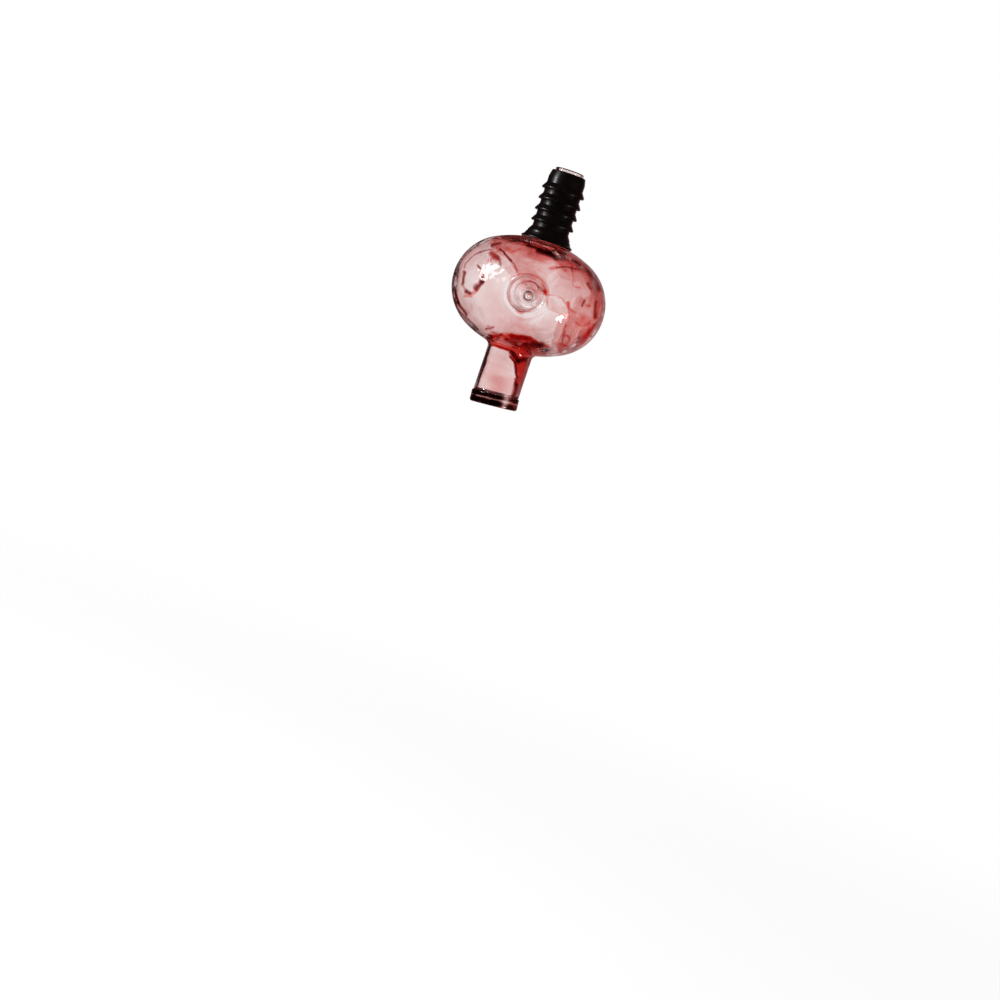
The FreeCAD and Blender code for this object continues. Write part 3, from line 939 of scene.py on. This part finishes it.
def flash_fields(points, inner):
    """Smooth fields of the flash over the walls, a value for each point, which the glass reads as attributes.

    beyond, pane and throat are distances past the flash's edge, into the pane and into the throat's gathering.
    rose is the even depth, fold where it folded all round, crown where it gathered, spout the spout's deep side
    and dent where the wall is dented. smoke holds the grey-brown spots, partly painted shade along the bulb's
    bottom edge, and lip the painted shade of the lip's two dark rings. front is where the drawn folds lie: the
    front of the inner wall, the navel's mouth, and a share of the outer wall at the rim and in the throat,
    since light that grazes the glass there turns back at the inner wall. ring is the distance from the navel's
    axis, and drawn is the place stretched along the rings, (R cos b, s ring, R sin b), where b is the angle
    round that axis.
    """
    x, y, height = points[:, 0], points[:, 1], points[:, 2] - BULB_CENTRE
    ring = np.hypot(x, height)
    angle = np.arctan2(height, x)
    in_spout = smooth(*SPOUT_BEGINS, height)
    below_stem = smooth(*STEM_BEGINS, height)
    bulb_edge = past_line(x, height, BULB_EDGE_PX) + EDGE_LEAN * (y + BULB_RADIUS)
    beyond = np.where(height < SPOUT_LINE_TOP, past_line(x, height, SPOUT_EDGE_PX), bulb_edge)
    throat = np.where(height > THROAT_LINE_END, past_line(x, height, THROAT_EDGE_PX), BELOW_THROAT)
    thinned = NAVEL_SHARE + (1 - NAVEL_SHARE) * smooth(*NAVEL_THINNED, ring)
    navel = np.maximum(thinned, smooth(*EDGE_SOFT, bulb_edge))
    rose = (OUTER_ROSE + INNER_ROSE * inner) * (1 + spots(x, height, CLOUDS))
    fold = inner * below_stem * smooth(*RINGS_BEGIN, ring) * smooth(*FOLDING_BEGINS, bulb_edge)
    on_bulb = smooth(*BULB_BEGINS, height) * smooth(*BULB_ENDS, height)
    grazed = np.maximum(smooth(*RIM_GRAZED, y), smooth(*THROAT_GRAZED, height))
    rim = np.maximum(inner, GRAZED_SHARE * grazed * on_bulb)
    in_front = smooth(*FRONT_BEGINS, y)
    deep = SPOUT_LOW_SHARE + (1 - SPOUT_LOW_SHARE) * smooth(*SPOUT_DEEPENS, height)
    return {
        "beyond": beyond - EDGE_DRIFT / 2,
        "rose": rose * navel * (STEM_SHARE + (1 - STEM_SHARE) * below_stem),
        "fold": fold * (1 - in_spout),
        "pane": past_line(x, height, PANE_PX) - EDGE_DRIFT / 2,
        "throat": throat - EDGE_DRIFT / 2,
        "crown": CROWN_DEPTH * smooth(*CROWN_DEEPENS, height) * below_stem * rim,
        "smoke_and_shade": spots(x, height, SMOKE_AND_SHADE_SPOTS) * inner,
        "lip": lip_shade_bands(x, height),
        "front": in_front * np.maximum(rim, smooth(*NAVEL_PAINTED, ring)),
        "spout": in_spout * (0.5 + 0.5 * inner) * deep,
        "dent": spots(x, height, DENTS) * in_front,
        "ring": ring,
        "drawn": np.stack([DRAWN_REACH * np.cos(angle), DRAWN_STRETCH * ring, DRAWN_REACH * np.sin(angle)], 1),
    }


def linear(code):
    """A hex sRGB colour as linear red, green, blue and alpha."""
    channels = [int(code[k : k + 2], 16) / 255 for k in (0, 2, 4)]
    return tuple(c / 12.92 if c <= 0.04045 else ((c + 0.055) / 1.055) ** 2.4 for c in channels) + (1.0,)


def add(tree, kind, *values, **named):
    """Adds a node and gives its outputs.

    Plain values fill its inputs in order, and names with a capital by name; other names are its settings.
    """
    node = tree.nodes.new("ShaderNode" + kind)
    inputs = dict(enumerate(values))
    for name, value in named.items():
        if name[0].isupper():
            inputs[name.replace("_", " ")] = value
        else:
            setattr(node, name, value)
    for place, value in inputs.items():
        if isinstance(value, bpy.types.NodeSocket):
            tree.links.new(value, node.inputs[place])
        else:
            node.inputs[place].default_value = value
    return node.outputs


def material(name):
    """An empty node material."""
    made = bpy.data.materials.new(name)
    made.use_nodes = True
    made.node_tree.nodes.clear()
    return made, made.node_tree


def drawn_folds(tree, flat, folds):
    """Depth of the folds at a place in the XZ plane: each one's own, falling to nothing at its half width.

    What counts is the distance to the nearest point of the straight run between the fold's two ends.
    """
    whole = 0.0
    starts = seen_at([start for start, _, _, _ in folds])
    stops = seen_at([stop for _, stop, _, _ in folds])
    for start, stop, (_, _, width, depth) in zip(starts, stops, folds):
        along = Vector(np.insert(stop - start, 1, 0))
        start = Vector(np.insert(start, 1, 0))
        off = add(tree, "VectorMath", flat, start, operation="SUBTRACT")[0]
        share = add(tree, "VectorMath", off, along / along.length_squared, operation="DOT_PRODUCT")["Value"]
        share = add(tree, "Clamp", share)[0]
        foot = add(tree, "VectorMath", along, Scale=share, operation="SCALE")[0]
        off = add(tree, "VectorMath", off, foot, operation="DISTANCE")["Value"]
        here = add(tree, "MapRange", off, width * MM, 0, 0, depth, interpolation_type="SMOOTHSTEP")[0]
        whole = add(tree, "Math", whole, here, operation="ADD")[0]
    return whole


def rose_depth(tree, field, drift):
    """Depth of the even flash: thin short of its edge and in the pane, in wisps, and more where edge-on."""
    edge = add(tree, "Math", drift, field["beyond"], operation="ADD")[0]
    edge = add(tree, "MapRange", edge, *ROSE_EDGE, *ROSE_DEPTHS, interpolation_type="SMOOTHSTEP")[0]
    pane = add(tree, "Math", drift, field["pane"], operation="ADD")[0]
    pane = add(tree, "MapRange", pane, *ROSE_EDGE, *PANE_DEPTHS, interpolation_type="SMOOTHSTEP")[0]
    place = field["drawn"]
    wisp = add(
        tree, "TexNoise", place, W=5, Scale=1 / WISP_SIZE, Detail=3, Distortion=0.8, noise_dimensions="4D"
    )[0]
    wisp = add(tree, "MapRange", wisp, *WISP_CONTRAST, *WISP_DEPTHS, interpolation_type="SMOOTHSTEP")[0]
    facing = add(tree, "LayerWeight", 0.5)["Facing"]
    edge_on = add(
        tree, "MapRange", facing, *EDGE_ON_CONTRAST, *EDGE_ON_DEPTHS, interpolation_type="SMOOTHERSTEP"
    )[0]
    depth = field["rose"]
    for factor in (edge, pane, wisp, edge_on):
        depth = add(tree, "Math", depth, factor, operation="MULTIPLY")[0]
    return depth


def thread_depth(tree, field, place, drift, gaps):
    """Depth of the thin threads: along the flash's edge, and round the bulb where the flash folded in rings."""
    edge = add(tree, "Math", drift, field["beyond"], operation="ADD")[0]
    edge = add(tree, "Math", edge, operation="ABSOLUTE")[0]
    edge = add(tree, "MapRange", edge, *EDGE_THREAD, *EDGE_THREAD_DEPTHS, interpolation_type="SMOOTHSTEP")[0]
    edge = add(tree, "Math", edge, gaps, operation="MULTIPLY")[0]
    lane = add(tree, "TexNoise", place, W=13, Scale=1 / LANE_SIZE, Detail=1, noise_dimensions="4D")[0]
    lane = add(tree, "Math", lane, LANE_STRAY, field["ring"], operation="MULTIPLY_ADD")[0]
    lane = add(tree, "Math", lane, LANE_PITCH, operation="PINGPONG")[0]
    lane = add(tree, "MapRange", lane, *RING_THREAD, *RING_THREAD_DEPTHS, interpolation_type="SMOOTHSTEP")[0]
    rare = add(tree, "TexNoise", field["drawn"], W=17, Scale=1 / RARE_SIZE, Detail=1, noise_dimensions="4D")[0]
    rare = add(tree, "MapRange", rare, *RARE_CONTRAST, interpolation_type="SMOOTHSTEP")[0]
    for factor in (rare, field["fold"]):
        lane = add(tree, "Math", lane, factor, operation="MULTIPLY")[0]
    return add(tree, "Math", edge, field["front"], lane, operation="MULTIPLY_ADD")[0]


def gathered_depth(tree, field, place, drift):
    """Depth of the ruby gatherings: patchy in the throat and the crown, and full on the spout's deep side."""
    patch = add(
        tree, "TexNoise", place, W=21, Scale=1 / PATCH_SIZE, Detail=2, Distortion=0.8, noise_dimensions="4D"
    )[0]
    patch = add(tree, "MapRange", patch, *PATCH_CONTRAST, *PATCH_DEPTHS, interpolation_type="SMOOTHSTEP")[0]
    throat = add(tree, "Math", drift, field["throat"], operation="ADD")[0]
    throat = add(tree, "MapRange", throat, *THROAT_EDGE, *THROAT_DEPTHS, interpolation_type="SMOOTHSTEP")[0]
    pool = add(tree, "Math", throat, field["front"], field["crown"], operation="MULTIPLY_ADD")[0]
    pool = add(tree, "Math", pool, patch, operation="MULTIPLY")[0]
    deep = add(tree, "Math", drift, field["beyond"], operation="ADD")[0]
    deep = add(tree, "MapRange", deep, *SPOUT_EDGE, *SPOUT_DEPTHS, interpolation_type="SMOOTHSTEP")[0]
    return add(tree, "Math", deep, field["spout"], pool, operation="MULTIPLY_ADD")[0]


def flashed_glass():
    """Borosilicate glass, mouth-blown and fire polished: clear and glossy, with a rose flash on the inner wall.

    The flash is thin on one side and gathers on the other, so the eye sees pale glass, rose glass and darker
    threads where the flash folded over itself. Painted shade darkens the lip's two rings, the bulb's bottom
    edge and its left and upper left outline. The blowing leaves a soft ripple that bends the highlights.
    """
    made, tree = material("borosilicate_glass_rose_flashed")
    place = add(tree, "TexCoord")["Object"]
    field = {name: add(tree, "Attribute", attribute_name=name)["Fac"] for name in FIELDS}
    field["drawn"] = add(tree, "Attribute", attribute_name="drawn")["Vector"]

    drift = add(tree, "TexNoise", place, W=1, Scale=1 / DRIFT_SIZE, Detail=3, noise_dimensions="4D")[0]
    drift = add(tree, "Math", drift, EDGE_DRIFT, operation="MULTIPLY")[0]
    patchy = add(tree, "TexNoise", place, W=60, Scale=1 / FOLD_GAP_SIZE, Detail=2, noise_dimensions="4D")[0]
    patchy = add(
        tree, "MapRange", patchy, *FOLD_GAP_CONTRAST, *FOLD_GAP_DEPTHS, interpolation_type="SMOOTHSTEP"
    )[0]

    sway = add(tree, "TexNoise", place, W=70, Scale=1 / SWAY_SIZE, Detail=1, noise_dimensions="4D")["Color"]
    sway = add(tree, "VectorMath", sway, (0.5, 0.5, 0.5), operation="SUBTRACT")[0]
    swayed = add(tree, "VectorMath", sway, [FOLD_SWAY] * 3, place, operation="MULTIPLY_ADD")[0]
    flat = add(tree, "VectorMath", swayed, (0, 0, BULB_CENTRE), operation="SUBTRACT")[0]
    flat = add(tree, "VectorMath", flat, (1, 0, 1), operation="MULTIPLY")[0]

    shade = rose_depth(tree, field, drift)
    threads = thread_depth(tree, field, place, drift, patchy)
    ruby = gathered_depth(tree, field, place, drift)
    ruby_folds = drawn_folds(tree, flat, RUBY_FOLDS)
    ruby = add(tree, "Math", ruby_folds, field["front"], ruby, operation="MULTIPLY_ADD")[0]
    ruby = add(tree, "Math", threads, THREAD_SHARE, ruby, operation="MULTIPLY_ADD")[0]

    # The lip's two dark rings are painted shade, made uneven by a noise
    lip_shade_depth = add(tree, "TexNoise", place, W=40, Scale=1 / LIP_SHADE_PATCH_SIZE, Detail=1, noise_dimensions="4D")[0]
    lip_shade_depth = add(tree, "MapRange", lip_shade_depth, *LIP_SHADE_CONTRAST, *LIP_SHADE_DEPTHS, interpolation_type="SMOOTHSTEP")[0]
    smoke_and_shade_depth = add(tree, "Math", lip_shade_depth, field["lip"], operation="MULTIPLY")[0]
    # Adds the grey-brown spots, partly painted shade along the bulb's bottom edge
    smoke_and_shade_depth = add(tree, "Math", patchy, field["smoke_and_shade"], smoke_and_shade_depth, operation="MULTIPLY_ADD")[0]
    # Soot-dark folds; those along the outline are partly painted shade
    sooty_and_edge_shade_folds = drawn_folds(tree, flat, SOOTY_FOLDS_AND_EDGE_SHADE)
    sooty_and_edge_shade = add(tree, "Math", sooty_and_edge_shade_folds, field["front"], operation="MULTIPLY")[0]

    colour = add(tree, "Gamma", linear(ROSE), shade)[0]
    for tint, depth in ((RUBY, ruby), (SOOTY_AND_EDGE_SHADE_TINT, sooty_and_edge_shade), (SMOKE_AND_SHADE_TINT, smoke_and_shade_depth)):
        deeper = add(tree, "Gamma", linear(tint), depth)[0]
        colour = add(tree, "VectorMath", colour, deeper, operation="MULTIPLY")[0]

    wave = add(
        tree, "TexNoise", place, W=50, Scale=1 / RIPPLE_SIZE, Detail=1, Distortion=0.4, noise_dimensions="4D"
    )[0]
    dent = add(tree, "TexNoise", place, W=51, Scale=1 / DENT_SIZE, Detail=1, noise_dimensions="4D")[0]
    dent = add(tree, "Math", dent, field["dent"], operation="MULTIPLY")[0]
    wave = add(tree, "Math", dent, DENT_SHARE, wave, operation="MULTIPLY_ADD")[0]
    bump = add(tree, "Bump", Strength=1, Distance=RIPPLE, Height=wave)[0]
    shader = add(
        tree,
        "BsdfPrincipled",
        Base_Color=colour,
        Roughness=0,
        IOR=GLASS_IOR,
        Transmission_Weight=1,
        Normal=bump,
    )[0]
    absorb = add(tree, "VolumeAbsorption", linear(BODY_TINT), BODY_DENSITY)[0]
    add(tree, "OutputMaterial", Surface=shader, Volume=absorb)
    return made


def rubber():
    """Nitrile rubber, moulded: the eye sees near black, a broken semi-gloss and a fine grain from the mould."""
    made, tree = material("nitrile_rubber_moulded")
    place = add(tree, "TexCoord")["Object"]
    grain = add(tree, "TexNoise", place, Scale=1 / GRAIN_SIZE, Detail=2)[0]
    bump = add(tree, "Bump", Strength=GRAIN_STRENGTH, Distance=GRAIN_DEPTH, Height=grain)[0]
    worn = add(tree, "TexNoise", place, Scale=1 / WEAR_SIZE, Detail=2)[0]
    worn = add(tree, "MapRange", worn, *WEAR_CONTRAST, *WEAR_ROUGHNESS)[0]
    shader = add(
        tree, "BsdfPrincipled", Base_Color=linear(RUBBER_BLACK), IOR=RUBBER_IOR, Roughness=worn, Normal=bump
    )[0]
    add(tree, "OutputMaterial", Surface=shader)
    return made


def camera():
    """The camera, which stands at the eye."""
    data = bpy.data.cameras.new("camera")
    data.sensor_width = SENSOR_MM
    data.lens = SENSOR_MM * FOCAL_PX / FRAME_PX
    data.clip_start = NEAR
    made = bpy.data.objects.new("camera", data)
    made.matrix_world = eye()
    bpy.context.scene.collection.objects.link(made)
    bpy.context.scene.camera = made


def studio():
    """White to the camera, and what the glass finds round it, by where a ray goes.

    A ray past both walls sees white. One that only skimmed the outer wall, or that a wall mirrors, sees a dark
    card on the left and a grey one elsewhere, which draws the outline, and dim space in front, which is where
    light goes that turns back. The dimmer the light, the more it takes the cards' tone.
    """
    world = bpy.data.worlds.new("studio")
    bpy.context.scene.world = world
    world.use_nodes = True
    tree = world.node_tree
    tree.nodes.clear()
    path = add(tree, "LightPath")
    way = add(tree, "TexCoord")["Generated"]
    x, y, _ = add(tree, "SeparateXYZ", way)
    white = add(tree, "MapRange", y, *BACK_BEGINS, FRONT_LIGHT, BACK_LIGHT)[0]
    card = add(tree, "MapRange", x, *CARDS_MEET, CARD_LEFT, CARD_RIGHT)[0]
    grazed = add(tree, "MapRange", y, *CARDS_MIRRORED)[0]
    grazed = add(tree, "MapRange", grazed, 0, 1, MIRRORED, card)[0]
    straight_on = add(tree, "MapRange", y, *CARDS_OPEN)[0]
    card = add(tree, "MapRange", straight_on, 0, 1, card, 1)[0]
    ahead = add(tree, "MapRange", y, *CARDS_BEGIN)[0]
    skimmed = add(tree, "MapRange", ahead, 0, 1, TURNED_BACK, card)[0]
    deep = add(tree, "Math", path["Transmission Depth"], WALLS_TO_WHITE, operation="GREATER_THAN")[0]
    through = add(tree, "MapRange", deep, 0, 1, skimmed, white)[0]
    light = add(tree, "MapRange", path["Is Glossy Ray"], 0, 1, PLAIN_LIGHT, grazed)[0]
    light = add(tree, "MapRange", path["Is Transmission Ray"], 0, 1, light, through)[0]
    light = add(tree, "Math", light, path["Is Camera Ray"], operation="MAXIMUM")[0]
    in_glass = add(tree, "Math", path["Is Glossy Ray"], path["Is Transmission Ray"], operation="MAXIMUM")[0]
    plain = add(tree, "Math", 1, in_glass, operation="SUBTRACT")[0]
    tone = add(tree, "Math", light, plain, operation="MAXIMUM")[0]
    tone = add(tree, "MixRGB", tone, linear(CARD_TONE), linear(WHITE))[0]
    shown = add(tree, "Background", tone, light)[0]
    add(tree, "OutputWorld", shown)


def softbox(name, azimuth, elevation, width, height, power):
    """A square area lamp that stands round the bulb, facing it."""
    way = toward(math.radians(azimuth), math.radians(elevation))
    data = bpy.data.lights.new(name, "AREA")
    data.shape = "RECTANGLE"
    data.size = width
    data.size_y = height
    data.energy = power
    lamp = bpy.data.objects.new(name, data)
    stand = Matrix.Translation(Vector((0, 0, BULB_CENTRE)) + way * LAMP_DISTANCE)
    lamp.matrix_world = stand @ way.to_track_quat("Z", "Y").to_matrix().to_4x4()
    bpy.context.scene.collection.objects.link(lamp)


def floor():
    """A pale disc below the spout that fades into the white round it and keeps the object's shadow."""
    rings = np.linspace(0, FLOOR_RADIUS, FLOOR_RINGS)[:, None]
    angle = np.linspace(0, 2 * math.pi, FLOOR_COLUMNS, endpoint=False)
    x, y = rings * np.cos(angle), rings * np.sin(angle)
    grid = np.stack([x, y, np.full_like(x, FLOOR_HEIGHT)], -1)
    sheets = Sheets()
    sheets.add(grid, 0)
    disc = mesh_object("floor", grid.reshape(-1, 3), sheets.faces[0])
    made, tree = material("floor_card_pale")
    path = add(tree, "LightPath")
    place = add(tree, "TexCoord")["Object"]
    away = add(tree, "VectorMath", place, operation="LENGTH")["Value"]
    card = add(tree, "BsdfDiffuse", linear(FLOOR_PALE))[0]
    deep = add(tree, "Math", path["Transmission Depth"], WALLS_TO_FLOOR, operation="GREATER_THAN")[0]
    seen = add(tree, "Math", deep, path["Is Camera Ray"], operation="MAXIMUM")[0]
    glow = add(tree, "Math", seen, FLOOR_GLOW, operation="MULTIPLY")[0]
    glow = add(tree, "Emission", linear(WHITE), glow)[0]
    both = add(tree, "AddShader", card, glow)[0]
    clear = add(tree, "BsdfTransparent")[0]
    fade = add(tree, "MapRange", away, *FLOOR_FADES, interpolation_type="SMOOTHSTEP")[0]
    mirrored = add(tree, "Math", path["Is Glossy Ray"], path["Is Transmission Ray"], operation="MAXIMUM")[0]
    hidden = add(tree, "Math", mirrored, deep, operation="SUBTRACT")[0]
    fade = add(tree, "Math", fade, hidden, operation="MAXIMUM")[0]
    shown = add(tree, "MixShader", fade, both, clear)[0]
    add(tree, "OutputMaterial", Surface=shown)
    disc.data.materials.append(made)


bpy.context.scene.view_settings.view_transform = "Standard"
for kind in ("max_bounces", "glossy_bounces", "transmission_bounces"):
    setattr(bpy.context.scene.cycles, kind, LIGHT_BOUNCES)

glass = blown_glass()
glass.data.materials.append(flashed_glass())
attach(glass, "glass")
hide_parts("inlet_stem", "chamber_bulb", "spout_tube", "spout_lip")

stopper = stopper_rubber()
stopper.data.materials.append(rubber())
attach(stopper, "stopper")
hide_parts("stopper")

camera()
studio()
floor()
for lamp in LAMPS:
    softbox(*lamp)
